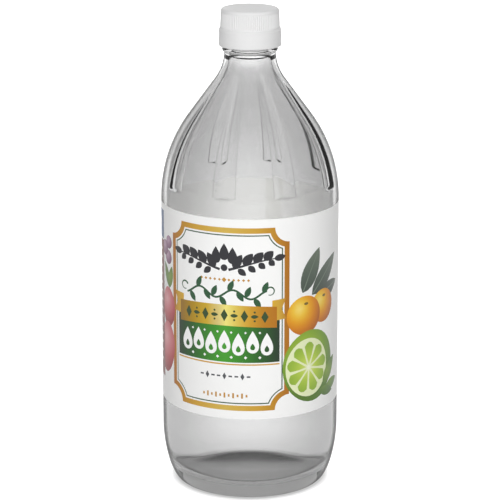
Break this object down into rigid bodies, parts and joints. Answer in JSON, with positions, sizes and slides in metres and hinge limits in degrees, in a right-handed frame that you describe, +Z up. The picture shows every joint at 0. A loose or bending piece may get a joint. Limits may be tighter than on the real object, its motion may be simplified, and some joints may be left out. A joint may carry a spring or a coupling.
{
  "type": "vinegar bottle",
  "caption": "Round clear glass bottle of white vinegar with a fluted shoulder, wrapped paper label and white screw cap.",
  "frame": {"origin": "centre of the circle that the bottle stands on", "axes": "+Z up along the bottle's axis; -Y towards the middle of the label's front"},
  "size_m": [0.0882, 0.0883, 0.2397],
  "materials": {
    "glass": "clear flint glass, smooth",
    "vinegar": "clear colourless liquid",
    "paper": "printed label paper, satin",
    "cap": "moulded white polypropylene, satin"
  },
  "bodies": {
    "root": {"bottle": "glass", "vinegar": "vinegar", "label": "paper", "cap": "cap"}
  },
  "joints": []
}
